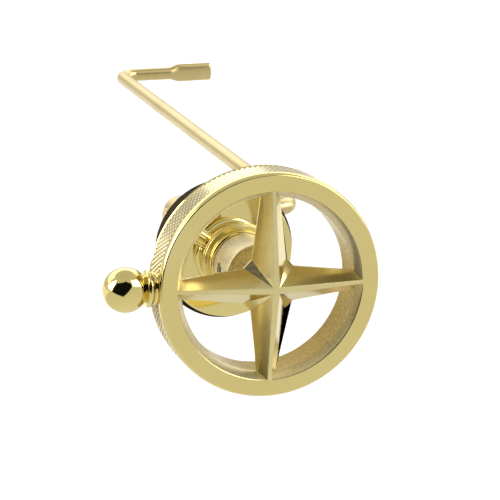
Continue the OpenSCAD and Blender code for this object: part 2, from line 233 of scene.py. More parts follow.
def toneBetween(tree, grain, low, high, start=0.35, end=0.65):
    ramp = tree.nodes.new("ShaderNodeValToRGB")
    ramp.color_ramp.elements[0].position = start
    ramp.color_ramp.elements[0].color = (*low, 1)
    ramp.color_ramp.elements[1].position = end
    ramp.color_ramp.elements[1].color = (*high, 1)
    tree.links.new(grain, ramp.inputs["Fac"])
    return ramp.outputs["Color"]


def valueBetween(tree, grain, low, high):
    spread = tree.nodes.new("ShaderNodeMapRange")
    spread.inputs["From Min"].default_value = 0.3
    spread.inputs["From Max"].default_value = 0.7
    spread.inputs["To Min"].default_value = low
    spread.inputs["To Max"].default_value = high
    tree.links.new(grain, spread.inputs["Value"])
    return spread.outputs["Result"]


def bumpFrom(tree, shader, grain, depth):
    bump = tree.nodes.new("ShaderNodeBump")
    bump.inputs["Strength"].default_value = 1.0
    bump.inputs["Distance"].default_value = depth * mm
    tree.links.new(grain, bump.inputs["Height"])
    tree.links.new(bump.outputs["Normal"], shader.inputs["Normal"])


def metalFinish(name, look):
    finish, tree, shader = newFinish(name)
    shader.inputs["Metallic"].default_value = look.get("metallic", 1.0)
    patches = grainOn(tree, look["patchScale"])
    tree.links.new(toneBetween(tree, patches, look["tone"], look["otherTone"]), shader.inputs["Base Color"])
    marks = grainOn(tree, look["markScale"], look.get("markStretch", (1, 1, 1)))
    tree.links.new(valueBetween(tree, marks, *look["roughness"]), shader.inputs["Roughness"])
    bumpFrom(tree, shader, marks, look["markDepth"])
    return finish


brassTone = (0.79, 0.665, 0.275)
brassOtherTone = (0.77, 0.635, 0.25)

finishLooks = {
    "polishedBrass": {"tone": brassTone, "otherTone": brassOtherTone, "patchScale": 60,
                      "roughness": (0.045, 0.085), "markScale": 700, "markDepth": 0.0006},
    "turnedBrass": {"tone": (0.76, 0.65, 0.38), "otherTone": (0.71, 0.60, 0.33), "patchScale": 70,
                    "roughness": (0.24, 0.34), "markScale": 900, "markStretch": (1, 12, 1), "markDepth": 0.002,
                    "metallic": 0.62},
    "castBrass": {"tone": (0.79, 0.68, 0.33), "otherTone": (0.75, 0.63, 0.29), "patchScale": 90,
                  "roughness": (0.11, 0.20), "markScale": 1500, "markDepth": 0.005},
    # knurled brass: its pale tone is a painted sheen, and its dark groove colour is painted shade
    "knurledBrass": {"tone": (0.86, 0.76, 0.47), "otherTone": (0.80, 0.70, 0.42), "patchScale": 120,
                     "roughness": (0.12, 0.2), "markScale": 2500, "markDepth": 0.003,
                     "grooveShade": (0.27, 0.19, 0.06), "grooveRadius": 31.3, "crestRadius": 31.72},
    "satinBrass": {"tone": (0.66, 0.535, 0.25), "otherTone": (0.60, 0.475, 0.205), "patchScale": 45,
                   "roughness": (0.26, 0.38), "markScale": 1800, "markDepth": 0.004},
    "steel": {"tone": (0.56, 0.56, 0.57), "otherTone": (0.48, 0.48, 0.50), "patchScale": 150,
              "roughness": (0.22, 0.36), "markScale": 2200, "markDepth": 0.003},
}

polishedBrass = metalFinish("polishedBrass", finishLooks["polishedBrass"])
castBrass = metalFinish("castBrass", finishLooks["castBrass"])
turnedBrass = metalFinish("turnedBrass", finishLooks["turnedBrass"])


def knurlFinish(name, look):
    # painted shade and sheen: the grooves are painted darker than the crests, by their distance from the wheel's
    # axis, and the crests take the pale knurl tone as a painted sheen
    finish = metalFinish(name, look)
    tree = finish.node_tree
    where = tree.nodes.new("ShaderNodeTexCoord")
    flat = tree.nodes.new("ShaderNodeVectorMath")
    flat.operation = "MULTIPLY"
    flat.inputs[1].default_value = (1, 0, 1)
    reach = tree.nodes.new("ShaderNodeVectorMath")
    reach.operation = "LENGTH"
    height = tree.nodes.new("ShaderNodeMapRange")
    height.inputs["From Min"].default_value = look["grooveRadius"] * mm
    height.inputs["From Max"].default_value = look["crestRadius"] * mm
    tree.links.new(where.outputs["Object"], flat.inputs[0])
    tree.links.new(flat.outputs["Vector"], reach.inputs[0])
    tree.links.new(reach.outputs["Value"], height.inputs["Value"])
    tone = toneBetween(tree, height.outputs["Result"], look["grooveShade"], look["tone"], 0.1, 0.75)
    tree.links.new(tone, tree.nodes["Principled BSDF"].inputs["Base Color"])
    return finish


knurledBrass = knurlFinish("knurledBrass", finishLooks["knurledBrass"])
satinBrass = metalFinish("satinBrass", finishLooks["satinBrass"])
steel = metalFinish("steel", finishLooks["steel"])

softLooks = {
    "nylon": {"tone": (0.78, 0.76, 0.70), "otherTone": (0.70, 0.68, 0.61), "patchScale": 200,
              "roughness": (0.42, 0.55), "markScale": 1500, "markDepth": 0.006, "metallic": 0.0},
    "gasketRubber": {"tone": (0.044, 0.029, 0.010), "otherTone": (0.032, 0.021, 0.007), "patchScale": 160,
                     "roughness": (0.55, 0.75), "markScale": 1400, "markDepth": 0.02, "metallic": 0.0},
}
nylon = metalFinish("nylon", softLooks["nylon"])
gasketRubber = metalFinish("gasketRubber", softLooks["gasketRubber"])
gasketRubber.node_tree.nodes["Principled BSDF"].inputs["Specular IOR Level"].default_value = 0.04
print("finishes made")


# ---- wheel rim ----

rim = {
    "knurlsRound": 132,     # diamonds round the wheel
    "knurlRows": 4,         # diamonds from front to back
    "knurlDepth": 0.45,     # mm
    "bandStart": 1.95,      # mm behind the front face
    "bandEnd": 0.7,         # mm in front of the back face
    "faceOuter": 30.75,     # radius of the flat face's outer edge, mm
    "faceInner": 26.8,
    "bore": 24.65,
    "slopeDepth": 3.0,      # depth at which the inner slope meets the bore, mm
    "slopeBulge": 8,        # degrees that the slope turns from end to end, halved
    "tightRound": 0.42,     # radius next to the flat face, mm
    "tightTilt": 50,        # degrees that the tight rounding covers
    "lipDrop": 0.13,        # how far the plain lip lies under the knurl's crests, mm
}


def knurledBand(look, radius, start, end):
    clearSelection()
    base = radius - look["knurlDepth"]
    bpy.ops.mesh.primitive_grid_add(x_subdivisions=look["knurlsRound"], y_subdivisions=look["knurlRows"],
                                    size=1, rotation=(math.pi / 2, 0, 0))
    band = newPiece("wheelRim")
    band.scale = (fullTurn * base * mm, (end - start) * mm, 1)
    applyPlace(band)
    shape = editPiece(band, "EDGE")
    corners = len(shape.verts)
    bpy.ops.mesh.select_all(action="SELECT")
    bpy.ops.mesh.poke()
    selectEdges(band, lambda e: len(e.link_faces) == 2 and all(v.index < corners for v in e.verts))
    bpy.ops.mesh.dissolve_edges(use_verts=False, use_face_split=False)
    bpy.ops.object.mode_set(mode="OBJECT")
    roll = band.modifiers.new("rollUp", "SIMPLE_DEFORM")
    roll.deform_method = "BEND"
    roll.deform_axis = "Z"
    roll.angle = fullTurn
    applyModifier(band, roll)
    centre = sum((v.co for v in band.data.vertices), Vector()) / len(band.data.vertices)
    middle = (start + end) / 2 * mm
    lift = Matrix.Rotation(-math.pi / 2, 4, "X") @ Matrix.Translation((-centre.x, -centre.y, -centre.z))
    setDown(band, Matrix.Translation((0, middle, 0)) @ lift)
    editPiece(band, "EDGE")
    bpy.ops.mesh.select_all(action="SELECT")
    bpy.ops.mesh.remove_doubles(threshold=2e-5)
    bpy.ops.mesh.normals_make_consistent(inside=False)
    row = (end - start) / look["knurlRows"] * mm

    def isSeam(edge):  # the seam still has full-height edges between two half diamonds
        a, b = edge.verts
        level = math.hypot(a.co.x - b.co.x, a.co.z - b.co.z) < row * 0.05
        return level and len(edge.link_faces) == 2 and abs(a.co.y - b.co.y) > row * 0.9

    selectEdges(band, isSeam)
    bpy.ops.mesh.dissolve_edges(use_verts=False, use_face_split=False)
    bpy.ops.mesh.select_mode(type="FACE")
    bpy.ops.mesh.select_all(action="DESELECT")
    bpy.ops.mesh.select_face_by_sides(number=4, type="EQUAL", extend=False)
    bpy.ops.mesh.poke(offset=look["knurlDepth"] * mm)
    bpy.ops.object.mode_set(mode="OBJECT")
    return band


def wheelRim():
    look = rim
    front, back = span("wheel_rim")
    radius = outerRadius("wheel_rim")
    bandStart = front + look["bandStart"]
    bandEnd = back - look["bandEnd"]
    valley = radius - look["knurlDepth"]
    piece = knurledBand(look, radius, bandStart, bandEnd)
    lip = radius - look["lipDrop"]
    tight = look["tightRound"]
    tilt = look["tightTilt"]
    tightDepth = tight * (1 - math.cos(math.radians(tilt)))
    tightWidth = tight * math.sin(math.radians(tilt))
    wideDrop = lip - look["faceOuter"] - tightWidth
    wide = wideDrop / (1 - math.sin(math.radians(tilt)))
    wideDepth = wide * math.cos(math.radians(tilt))
    slopeStart = Vector((look["faceInner"] - tightWidth, tightDepth))
    slope = Vector((look["bore"], look["slopeDepth"])) - slopeStart
    lean = math.degrees(math.atan2(slope.y, -slope.x))
    bulge = look["slopeBulge"]
    inner = slope.length / 2 / math.sin(math.radians(bulge))
    turnStart = math.radians(-90 - lean + bulge)
    slopeCentre = slopeStart - inner * Vector((math.cos(turnStart), math.sin(turnStart)))
    outline = [(lip, bandStart - 0.02)]
    outline += arc(lip - wide, front + tightDepth + wideDepth, wide, 0, tilt - 90, 10)
    outline += arc(look["faceOuter"], front + tight, tight, tilt - 90, -90, 6)[1:]
    outline += arc(look["faceInner"], front + tight, tight, -90, -90 - tilt, 6)
    outline += arc(slopeCentre.x, front + slopeCentre.y, inner, -90 - lean + bulge, -90 - lean - bulge, 6)
    outline += [(look["bore"], back - 0.35), (look["bore"] + 0.35, back), (radius - 1.0, back)]
    outline += arc(radius - 1.0, back - 0.55, 0.85, 90, 20, 5, 0.55)[1:]
    editPiece(piece, "EDGE")
    middle = (front + back) / 2 * mm
    selectEdges(piece, lambda e: e.is_boundary and e.verts[0].co.y < middle)
    here = (valley, bandStart)
    for there in outline:
        step = (0, (there[1] - here[1]) * mm, 0)
        bpy.ops.mesh.extrude_edges_move(TRANSFORM_OT_translate={"value": step})
        grow = there[0] / here[0]
        bpy.ops.transform.resize(value=(grow, 1, grow), center_override=(0, 0, 0))
        here = there
    selectEdges(piece, lambda e: e.is_boundary)
    bpy.ops.mesh.bridge_edge_loops()
    bpy.ops.mesh.select_all(action="SELECT")
    bpy.ops.mesh.normals_make_consistent(inside=False)
    bpy.ops.object.mode_set(mode="OBJECT")
    smoothFaces(piece, 28)
    install(piece, "handle", "knurled_brass", [polishedBrass, knurledBrass, turnedBrass], "wheel_rim")
    for face in piece.data.polygons:
        inBand = bandStart * mm < face.center.y < bandEnd * mm
        if inBand and math.hypot(face.center.x, face.center.z) > (valley - 0.05) * mm:
            face.material_index = 1
        boreSide = math.hypot(face.center.x, face.center.z) < (look["faceInner"] - tightWidth) * mm
        if boreSide and face.center.y > (front + tightDepth + 0.02) * mm:
            face.material_index = 2
    return piece


wheelRim()


# ---- star ----

def starSpokes():
    piece = copyOfNode("starSpokes", "star_spokes", merge=False)  # its back has a hole in it
    softenEdges(piece, 0.16, 3, 12)
    smoothFaces(piece, 25)
    install(piece, "handle", "polished_brass", castBrass, "star_spokes")


starSpokes()


# ---- hub and its set screw ----

hub = {"lip": 0.45, "screwHole": 2.05, "spigot": 4.5, "studHole": 2.5, "frontStep": 0.12}


def wheelHub():
    front, back = span("wheel_hub")
    radius = outerRadius("wheel_hub")
    hubFront = span("spindle")[0] - 3
    lip = hub["lip"]
    outline = [(hub["studHole"], front), (hub["spigot"] - 0.3, front), (hub["spigot"], front + 0.3),
               (hub["spigot"], hubFront - 0.3)]
    outline += arc(hub["spigot"] + 0.3, hubFront - 0.3, 0.3, 180, 90, 4)[1:]
    outline += [(radius - lip - 0.1, hubFront)]
    outline += arc(radius - lip, hubFront + lip, lip, -90, 0, 6)
    outline += arc(radius - lip, back - lip, lip, 0, 90, 6)
    outline += [(4.0, back), (4.0, span("spindle")[0]), (hub["studHole"], span("spindle")[0] - 0.2),
                (hub["studHole"], front)]
    piece = turnedPiece("wheelHub", outline)
    low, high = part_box("hub_set_screw")
    screwY = (low.y + high.y) / 2 / mm
    drill = roundBar("hubDrill", hub["screwHole"], 3.0, radius + 2)
    setDown(drill, along((-1, 0, 0), (0, screwY, 0)))
    cutWith(piece, drill)
    softenEdges(piece, 0.12, 2, 40)
    smoothFaces(piece)
    install(piece, "handle", "polished_brass", turnedBrass, "wheel_hub")


wheelHub()


def socketScrew(name, radius, length, socket=0.55, depth=0.5):
    # a set screw along +Y, with a rounded thread and a hexagon socket in its far end
    turns = max(3, int(length / 0.75))
    pitch = (length - 0.6) / turns
    outline = [(0, 0), (radius - 0.5, 0), (radius - 0.25, 0.25)]
    for i in range(turns):
        start = 0.3 + i * pitch
        outline += [(radius - 0.25, start), (radius, start + pitch * 0.4), (radius, start + pitch * 0.6)]
    outline += [(radius - 0.25, length - 0.3), (radius - 0.45, length), (0, length)]
    piece = turnedPiece(name, outline, 48)
    key = roundBar("key", radius * socket, length * (1 - depth), length + 1, 6)
    cutWith(piece, key)
    return piece


def hubSetScrew():
    low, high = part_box("hub_set_screw")
    length = (high.x - low.x) / mm
    piece = socketScrew("hubSetScrew", (high.z - low.z) / 2 / mm, length)
    setDown(piece, along((-1, 0, 0), (high.x / mm, (low.y + high.y) / 2 / mm, 0)))
    smoothFaces(piece)
    install(piece, "handle", "steel", steel, "hub_set_screw")


hubSetScrew()


# ---- ball knob ----

knob = {"waist": 4.3, "beadRound": 0.85, "beadBack": 1.6, "intoRim": 0.9, "fillet": 0.25}


def ballKnob():
    low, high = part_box("ball_knob")
    ball = (high.z - low.z) / 2 / mm
    centreX = low.x / mm + ball
    wheelRadius = outerRadius("wheel_rim")
    standoff = -centreX - wheelRadius
    collar = 4.55
    bead = 5.15 - knob["beadRound"]
    beadAt = standoff - knob["beadBack"]
    join = math.degrees(math.acos((beadAt - knob["beadRound"] - 0.25) / ball))
    outline = arc(0, 0, ball, -90, 90 - join, 48)
    waist = (bead - 0.2, beadAt - knob["beadRound"])
    outline += [waist]
    outline += arc(bead, beadAt, knob["beadRound"], -75, 75, 10)
    outline += [(bead - 0.1, beadAt + knob["beadRound"] + 0.02)]
    outline += arc(collar - 0.3, beadAt + knob["beadRound"] + 0.35, 0.3, -80, 0, 4)
    outline += [(collar, standoff + knob["intoRim"]), (0, standoff + knob["intoRim"])]
    piece = turnedPiece("ballKnob", outline, 128)
    middleY = (low.y + high.y) / 2 / mm
    setDown(piece, along((1, 0, 0), (centreX, middleY, 0)))
    smoothFaces(piece, 35)
    install(piece, "handle", "polished_brass", polishedBrass, "ball_knob")


ballKnob()


# ---- escutcheon, collar and lock screw ----

plate = {
    "edgeRound": 0.5,
    "edge": 2.8,            # thickness of the rim, mm
    "recess": 2.0,
    "wall": 3.0,
    "neck": 9.6,            # radius of the neck, mm
    "neckRound": 1.5,
    "rise": 1.0,            # how far the face rises from the rim to the neck, mm
}


def escutcheon():
    front, back = span("escutcheon")
    radius = outerRadius("escutcheon")
    bore = outerRadius("threaded_shank") + 0.06
    neck, fillet = plate["neck"], plate["neckRound"]
    soft = plate["edgeRound"]
    rimFront = back - plate["edge"]
    outline = [(bore, back - plate["recess"]), (bore, front), (neck, front)]
    faceEnd = rimFront - soft - plate["rise"]
    outline += arc(neck + fillet, faceEnd - fillet, fillet, 180, 90, 16)
    outline += arc(radius - soft, rimFront, soft, -90, 0, 8)
    outline += arc(radius - 0.3, back - 0.3, 0.3, 0, 90, 4)
    outline += [(radius - plate["wall"], back), (radius - plate["wall"], back - plate["recess"]),
                (bore, back - plate["recess"])]
    piece = turnedPiece("escutcheon", outline, 192)
    smoothFaces(piece, 35)
    install(piece, "mount", "polished_brass", polishedBrass, "escutcheon")


escutcheon()


def neckCollar():
    front, back = span("neck_collar")
    outer = outerRadius("neck_collar")
    inner = outerRadius("threaded_shank")
    step = (outer - inner) / 3
    bead = (back - front) / 4.5
    outline = [(inner, back), (inner, front), (inner + step * 0.6, front)]
    outline += arc(inner + step, front + bead, bead * 0.6, -60, 60, 10, bead * 0.9)
    outline += [(inner + step * 1.2, front + bead * 1.95)]
    outline += arc(outer - bead * 1.2, front + bead * 2.4, bead * 0.7, -60, 60, 10, bead * 0.5)
    outline += [(outer - bead * 0.7, front + bead * 2.9)]
    outline += arc(outer - 0.25, front + bead * 2.9 + 0.25, 0.25, -90, 0, 5)
    outline += arc(outer - 0.3, back - 0.3, 0.3, 0, 90, 4) + [(inner, back)]
    piece = turnedPiece("neckCollar", outline, 160)
    smoothFaces(piece, 35)
    install(piece, "mount", "polished_brass", polishedBrass, "neck_collar")


neckCollar()

lock = {"ribs": 14, "valley": 0.86, "head": 2.6, "angle": 32, "shank": 1.5}


def lockScrew():
    low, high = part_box("neck_lock_screw")
    y = (low.y + high.y) / 2 / mm
    angle = math.radians(180 - lock["angle"])
    direction = (math.cos(angle), 0, math.sin(angle))
    top = 15.5
    foot = 9.95
    head = lock["head"]
    outline = [(0, 8.0), (lock["shank"], 8.0), (lock["shank"], foot - 0.15), (head - 0.5, foot - 0.1),
               (head - 0.15, foot + 0.15), (head, foot + 0.4), (head, top - 0.45)]
    outline += arc(head - 0.45, top - 0.45, 0.45, 0, 90, 4)[1:] + [(0, top)]
    piece = turnedPiece("lockScrew", outline, lock["ribs"] * 6)
    shape = editPiece(piece)
    slice = fullTurn / (lock["ribs"] * 6)
    for vert in shape.verts:
        out = math.hypot(vert.co.x, vert.co.z)
        turn = round(math.atan2(vert.co.z, vert.co.x) / slice) % 6
        ribbed = out > (head - 0.35) * mm and vert.co.y > (foot + 0.1) * mm
        vert.select_set(ribbed and turn in (0, 1, 5))
    bpy.ops.transform.resize(value=(lock["valley"], 1, lock["valley"]), center_override=(0, 0, 0))
    bpy.ops.object.mode_set(mode="OBJECT")
    setDown(piece, along(direction, (0, y, 0)))
    smoothFaces(piece, 28)
    install(piece, "mount", "polished_brass", polishedBrass, "neck_lock_screw")


lockScrew()


# ---- gasket ----

def rubberGasket():
    front, back = span("rubber_gasket")
    radius = outerRadius("rubber_gasket")
    bore = outerRadius("threaded_shank") + 0.06
    soft = 0.55
    outline = [(bore, front + 0.2), (bore + 0.2, front), (radius - soft, front)]
    outline += arc(radius - soft, front + soft, soft, -90, 0, 6)[1:]
    outline += [(radius - 0.06, front + 1.9), (radius - 0.06, front + 2.6), (radius, back - soft - 0.3)]
    outline += arc(radius - soft, back - soft, soft, 0, 90, 6)
    outline += [(bore + 0.2, back), (bore, back - 0.2), (bore, front + 0.2)]
    piece = turnedPiece("rubberGasket", outline, 128)
    smoothFaces(piece, 35)
    install(piece, "mount", "gasket_rubber", gasketRubber, "rubber_gasket")


rubberGasket()


# ---- threaded shank, washer and nut ----

thread = {"pitch": 1.41, "depth": 0.72, "sides": 64, "start": -4.2}


def threadedRod(name, radius, start, end):
    pitch = thread["pitch"]
    root = radius - thread["depth"]
    turns = int((end - start) / pitch) + 3
    first = start - pitch * 1.5
    tooth = [(root, first), (root, first + pitch * 0.12), (radius, first + pitch * 0.46),
             (radius, first + pitch * 0.60), (root, first + pitch * 0.94), (root, first + pitch)]
    piece = outlinePiece(name, tooth)
    bpy.ops.object.mode_set(mode="OBJECT")
    screw = piece.modifiers.new("cutThread", "SCREW")
    screw.axis = "Y"
    screw.steps = screw.render_steps = thread["sides"]
    screw.screw_offset = pitch * mm
    screw.iterations = turns
    screw.use_merge_vertices = True
    screw.merge_threshold = 1e-6
    applyModifier(piece, screw)
    editPiece(piece)
    bpy.ops.mesh.select_all(action="SELECT")
    bpy.ops.mesh.remove_doubles(threshold=2e-6)
    for station, side in ((start, False), (end, True)):
        bpy.ops.mesh.select_all(action="SELECT")
        bpy.ops.mesh.bisect(plane_co=(0, station * mm, 0), plane_no=(0, 1, 0), use_fill=True,
                            clear_inner=not side, clear_outer=side)
    bpy.ops.mesh.select_all(action="SELECT")
    bpy.ops.mesh.normals_make_consistent(inside=False)
    bpy.ops.object.mode_set(mode="OBJECT")
    return piece


def threadedShank():
    front, back = span("threaded_shank")
    radius = outerRadius("threaded_shank")
    bore = outerRadius("front_bush")
    piece = threadedRod("threadedShank", radius, thread["start"], back)
    lead = turnedPiece("lead", [(0, thread["start"] - 1), (radius + 1, thread["start"] - 1),
                                (radius + 1, back - 1.6), (radius - 0.9, back), (0, back)], 96)
    cutWith(piece, lead, "INTERSECT")
    cutWith(piece, roundBar("plainFront", radius, front, thread["start"] + 0.5, 96), "UNION")
    cutWith(piece, roundBar("boreTool", bore, front - 1, back + 1, 96))
    low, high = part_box("stop_pin")
    pin = (high.x - low.x) / 2 / mm
    clearance = 0.35
    slotStart = low.y / mm - clearance
    side = math.asin((pin + clearance) / bore)
    sweep = math.radians(40) + 2 * side
    outline = [(bore - 1, slotStart), (radius + 1, slotStart), (radius + 1, back + 1),
               (bore - 1, back + 1), (bore - 1, slotStart)]
    slot = outlinePiece("slotTool", outline)
    bpy.ops.mesh.select_all(action="SELECT")
    bpy.ops.mesh.remove_doubles(threshold=1e-6)
    bpy.ops.mesh.edge_face_add()
    bpy.ops.mesh.select_all(action="SELECT")
    bpy.ops.mesh.spin(steps=12, angle=sweep, center=(0, 0, 0), axis=(0, 1, 0))
    bpy.ops.mesh.select_all(action="SELECT")
    bpy.ops.mesh.normals_make_consistent(inside=False)
    bpy.ops.object.mode_set(mode="OBJECT")
    middle = sum((v.co for v in slot.data.vertices), Vector()) / len(slot.data.vertices)
    now = math.atan2(middle.x, middle.z)
    setDown(slot, Matrix.Rotation(-math.radians(20) - now, 4, "Y"))
    cutWith(piece, slot)
    smoothFaces(piece, 28)
    install(piece, "mount", "satin_brass", satinBrass, "threaded_shank")


threadedShank()

nut = {"soft": 0.35}


def mountingNut():
    front, back = span("mounting_nut")
    corner = outerRadius("mounting_nut")
    flat = 12.0
    bore = outerRadius("threaded_shank")
    piece = roundBar("mountingNut", corner, front, back, 6)
    chamfer = (corner - flat * 0.98) * math.tan(math.radians(30))
    shell = turnedPiece("nutShell", [(0, front), (flat * 0.98, front), (corner + 0.02, front + chamfer),
                                     (corner + 0.02, back - chamfer), (flat * 0.98, back), (0, back)], 128)
    cutWith(piece, shell, "INTERSECT")
    lead = turnedPiece("nutBore", [(0, front - 1), (bore + 1.2, front - 1), (bore - 0.4, front + 0.6),
                                   (bore - 0.4, back - 0.6), (bore + 1.2, back + 1), (0, back + 1)], 96)
    cutWith(piece, lead)
    softenEdges(piece, 0.12, 2, 25)
    smoothFaces(piece, 28)
    install(piece, "mount", "satin_brass", satinBrass, "mounting_nut")


mountingNut()


def nutWasher():
    front, back = span("nut_washer")
    radius = outerRadius("nut_washer")
    bore = outerRadius("threaded_shank") + 0.06
    outline = [(bore, front), (radius - 0.3, front)]
    outline += arc(radius - 0.3, front + 0.3, 0.3, -90, 0, 4)[1:]
    outline += arc(radius - 0.5, back - 0.5, 0.5, 0, 90, 5)
    outline += [(bore + 0.2, back), (bore, back - 0.2), (bore, front)]
    piece = turnedPiece("nutWasher", outline, 96)
    smoothFaces(piece)
    install(piece, "mount", "satin_brass", satinBrass, "nut_washer")


nutWasher()


# ---- arm holder, its screws and the trip arm ----

chainHole = next(m for m in frame["record"]["mounts"] if m["name"] == "chain_hole")
holePlace = Vector(chainHole["pos_m"])
runDirection = Vector(chainHole["axis"]).normalized()

arm = {
    "rod": 2.55,            # radius of the rod, mm
    "crank": 36.6,          # offset of the long run, mm
    "bend": 7.0,
    "hook": 40.0,
    "holeIn": 5.6,
    "flatLength": 14.0,
    "flatWidth": 7.4,
    "flatThick": 2.4,
    "sides": 48,
}
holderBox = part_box("arm_holder")
crankY = holderBox[1].y / mm - 2 - arm["rod"]
crankPlace = Vector((0, crankY * mm, 0))
reach = holePlace - crankPlace
runLength = reach.dot(runDirection) / mm
crankDirection = (reach - runDirection * reach.dot(runDirection)).normalized()
upDirection = crankDirection.cross(runDirection)
armFrame = Matrix((crankDirection, runDirection, upDirection)).transposed().to_4x4()
armFrame.translation = crankPlace
holderUp = Vector((-crankDirection.z, 0, crankDirection.x)).normalized()


def armHolder():
    front, back = span("arm_holder")
    collar = outerRadius("arm_holder")
    body = 5.5
    step = crankY - arm["rod"] - 1.2
    soft = 0.4
    spindle = 4.0
    outline = [(spindle, front), (collar - soft, front)]
    outline += arc(collar - soft, front + soft, soft, -90, 0, 4)[1:]
    outline += arc(collar - soft, step - soft, soft, 0, 90, 4)
    outline += [(body + 0.3, step)]
    outline += arc(body + 0.3, step + 0.3, 0.3, -90, -180, 4)[1:]
    outline += arc(body - soft, back - soft, soft, 0, 90, 4)
    outline += [(0, back), (0, step - 0.2), (spindle, step - 0.2), (spindle, front)]
    piece = turnedPiece("armHolder", outline, 96)
    rodHole = setDown(roundBar("rodHole", arm["rod"] + 0.04, -12, 12, 64), along(crankDirection, (0, crankY, 0)))
    cutWith(piece, rodHole)
    low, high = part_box("holder_set_screws")
    for y in (low.y / mm + 2, high.y / mm - 2):
        cutWith(piece, setDown(roundBar("screwHole", 2.03, 1.0, 12), along(holderUp, (0, y, 0))))
    softenEdges(piece, 0.12, 2, 40)
    smoothFaces(piece)
    install(piece, "handle", "satin_brass", satinBrass, "arm_holder")


armHolder()


def holderScrews():
    low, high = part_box("holder_set_screws")
    spots = [(low.y / mm + 2, 4.01, outerRadius("arm_holder") - 0.5),
             (high.y / mm - 2, arm["rod"] + 0.01, 5.5 + 0.6)]
    made = []
    for y, foot, top in spots:
        screw = socketScrew("holderScrews", 2.0, top - foot)
        start = holderUp * foot
        made.append(setDown(screw, along(holderUp, (start.x, y, start.z))))
    pick(made[0])
    made[1].select_set(True)
    bpy.ops.object.join()
    piece = made[0]
    piece.name = piece.data.name = "holderScrews"
    smoothFaces(piece)
    install(piece, "handle", "steel", steel, "holder_set_screws")


holderScrews()


def tripArm():
    look = arm
    rod, bend, crank, hook = look["rod"], look["bend"], look["crank"], look["hook"]
    start = -5.5 - 0.8
    clearSelection()
    bpy.ops.mesh.primitive_circle_add(vertices=look["sides"], radius=(rod - 0.35) * mm,
                                      location=(start * mm, 0, 0), rotation=(0, math.pi / 2, 0))
    piece = newPiece("tripArm")
    applyPlace(piece)
    editPiece(piece, "EDGE")
    bpy.ops.mesh.select_all(action="SELECT")

    def draw(step, grow=(1, 1, 1), centre=(0, 0, 0)):
        bpy.ops.mesh.extrude_edges_move(TRANSFORM_OT_translate={"value": [s * mm for s in step]})
        if grow != (1, 1, 1):
            bpy.ops.transform.resize(value=grow, center_override=[c * mm for c in centre])

    def bendRod(centre, direction):
        bpy.ops.mesh.spin(steps=14, angle=math.pi / 2, center=[c * mm for c in centre],
                          axis=(0, 0, direction), use_auto_merge=False)

    grow = rod / (rod - 0.35)
    draw((0.35, 0, 0), (1, grow, grow))
    draw((crank - bend - start - 0.35, 0, 0))
    bendRod((crank - bend, bend, 0), -1)
    draw((0, runLength - 2 * bend, 0))
    bendRod((crank + bend, runLength - bend, 0), 1)
    flatStart = crank + hook - look["flatLength"]
    taper = rod * 1.8
    draw((flatStart - taper - crank - bend, 0, 0))
    x = flatStart - taper
    steps = 8
    thick, wide = rod, rod
    for i in range(1, steps + 1):
        ease = (1 - math.cos(math.pi * i / steps)) / 2
        newThick = rod + (look["flatThick"] * 0.72 - rod) * ease
        newWide = rod + (look["flatWidth"] / 2 - rod) * ease
        x += taper / steps
        draw((taper / steps, 0, 0), (1, newThick / thick, newWide / wide), (0, runLength, 0))
        thick, wide = newThick, newWide
    end = crank + hook
    draw((end - 0.9 - x, 0, 0))
    for dx, share in ((0.45, 0.975), (0.3, 0.93), (0.15, 0.86)):
        draw((dx, 0, 0), (1, share, share), (0, runLength, 0))
    bpy.ops.mesh.edge_face_add()
    selectEdges(piece, lambda e: e.is_boundary)
    bpy.ops.mesh.edge_face_add()
    bpy.ops.mesh.select_all(action="SELECT")
    bpy.ops.mesh.remove_doubles(threshold=1e-6)
    bpy.ops.mesh.normals_make_consistent(inside=False)
    bpy.ops.object.mode_set(mode="OBJECT")
    half = look["flatThick"] / 2
    for side in (-1, 1):  # the press that flattens the end, one die on each side
        die = outlinePiece("die", [(flatStart - taper, runLength + side * (rod * 0.94)),
                                   (flatStart - 0.6, runLength + side * (half + 0.1)),
                                   (flatStart + 0.4, runLength + side * half),
                                   (end + 1, runLength + side * half),
                                   (end + 1, runLength + side * rod * 1.5),
                                   (flatStart - taper, runLength + side * rod * 1.5),
                                   (flatStart - taper, runLength + side * (rod * 0.94))])
        bpy.ops.mesh.select_all(action="SELECT")
        bpy.ops.mesh.remove_doubles(threshold=1e-6)
        bpy.ops.mesh.edge_face_add()
        bpy.ops.mesh.select_all(action="SELECT")
        bpy.ops.mesh.extrude_region_move(TRANSFORM_OT_translate={"value": (0, 0, 12 * mm)})
        bpy.ops.mesh.select_all(action="SELECT")
        bpy.ops.mesh.normals_make_consistent(inside=False)
        bpy.ops.object.mode_set(mode="OBJECT")
        die.location.z = -6 * mm
        applyPlace(die)
        cutWith(piece, die)
    punch = roundBar("punch", 1.95, runLength - 4, runLength + 4, 40)
    punch.location.x = (end - look["holeIn"]) * mm
    applyPlace(punch)
    cutWith(piece, punch)
    softenEdges(piece, 0.15, 2, 35)
    setDown(piece, armFrame)
    smoothFaces(piece, 32)
    install(piece, "handle", "satin_brass", satinBrass, "trip_arm_crank", "trip_arm_run", "trip_arm_hook")


tripArm()


# ---- small turned parts kept from the CAD model ----

def refinedPiece(name, node, body, slotName, finish, soft):
    piece = copyOfNode(name, node)
    softenEdges(piece, soft, 2, 35)
    smoothFaces(piece)
    install(piece, body, slotName, finish, node)


refinedPiece("retainingClip", "retaining_clip", "handle", "steel", steel, 0.1)
refinedPiece("rearWasher", "rear_washer", "handle", "nylon", nylon, 0.1)
refinedPiece("thrustWasher", "thrust_washer", "handle", "nylon", nylon, 0.1)

nodeFinishes = {
    "star_stud": steel, "knob_stud": steel, "stop_pin": steel, "spindle": satinBrass,
    "front_bush": nylon, "rear_bush": nylon, "o_ring": gasketRubber,
}
for node, finish in nodeFinishes.items():
    cadNodes[node].data.materials.clear()
    cadNodes[node].data.materials.append(finish)
print("node finishes set")


# ---- floor, light and camera ----

